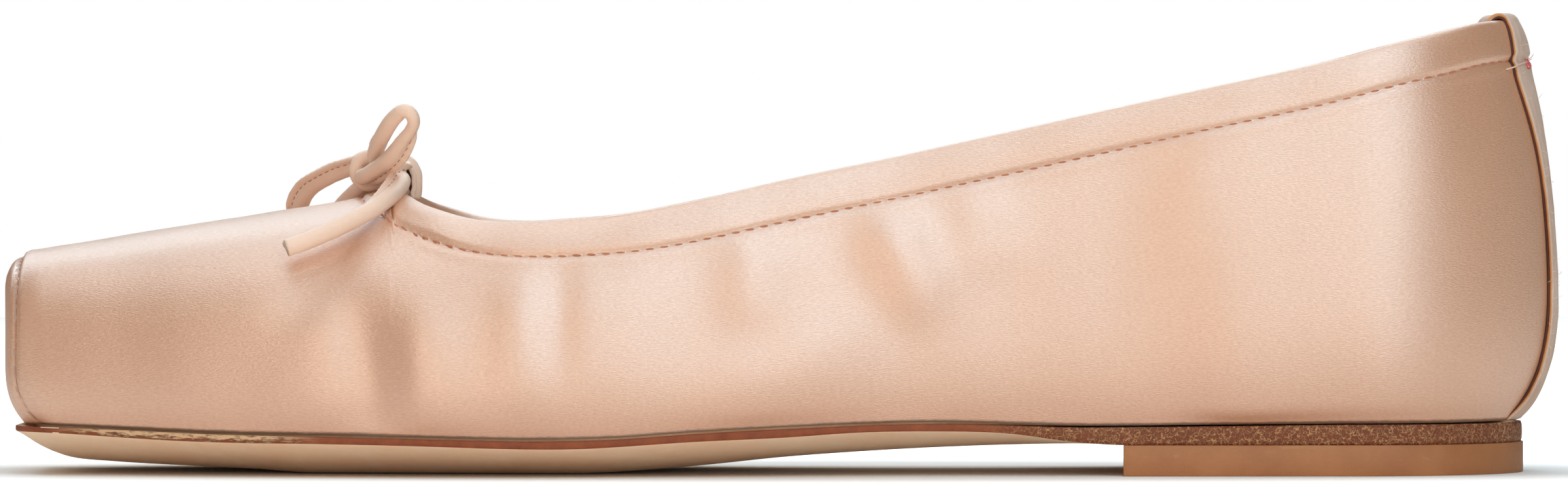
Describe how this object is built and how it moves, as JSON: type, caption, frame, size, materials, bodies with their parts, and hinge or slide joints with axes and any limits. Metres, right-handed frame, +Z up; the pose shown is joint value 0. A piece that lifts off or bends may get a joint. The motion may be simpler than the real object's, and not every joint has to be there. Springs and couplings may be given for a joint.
{
  "type": "ballet flat",
  "caption": "Satin ballet flat for the left foot: square toe, stitched topline casing, corded leather bow, leather back strip, thin leather sole and low heel.",
  "frame": {"origin": "middle of the shoe's bounding box, on the floor it stands on", "axes": "X from toe (-) to heel (+), Y from the outer side (-) to the inner side (+), Z up"},
  "size_m": [0.2495, 0.0805, 0.0734],
  "materials": {
    "satin": "satin weave, soft sheen",
    "sole_leather": "smooth, worn",
    "lining_leather": "matte",
    "heel_leather": "smooth",
    "strip_leather": "matte, raw edges",
    "bow_leather": "smooth, soft sheen"
  },
  "bodies": {
    "root": {"upper": "satin", "outsole": "sole_leather", "insole": "lining_leather", "heel_lift": "heel_leather", "back_strip": "strip_leather", "bow_knot": "bow_leather", "bow_loop_outer": "bow_leather", "bow_loop_inner": "bow_leather", "bow_tail_outer": "bow_leather", "bow_tail_inner": "bow_leather", "bow_wrap": "bow_leather"}
  },
  "joints": []
}
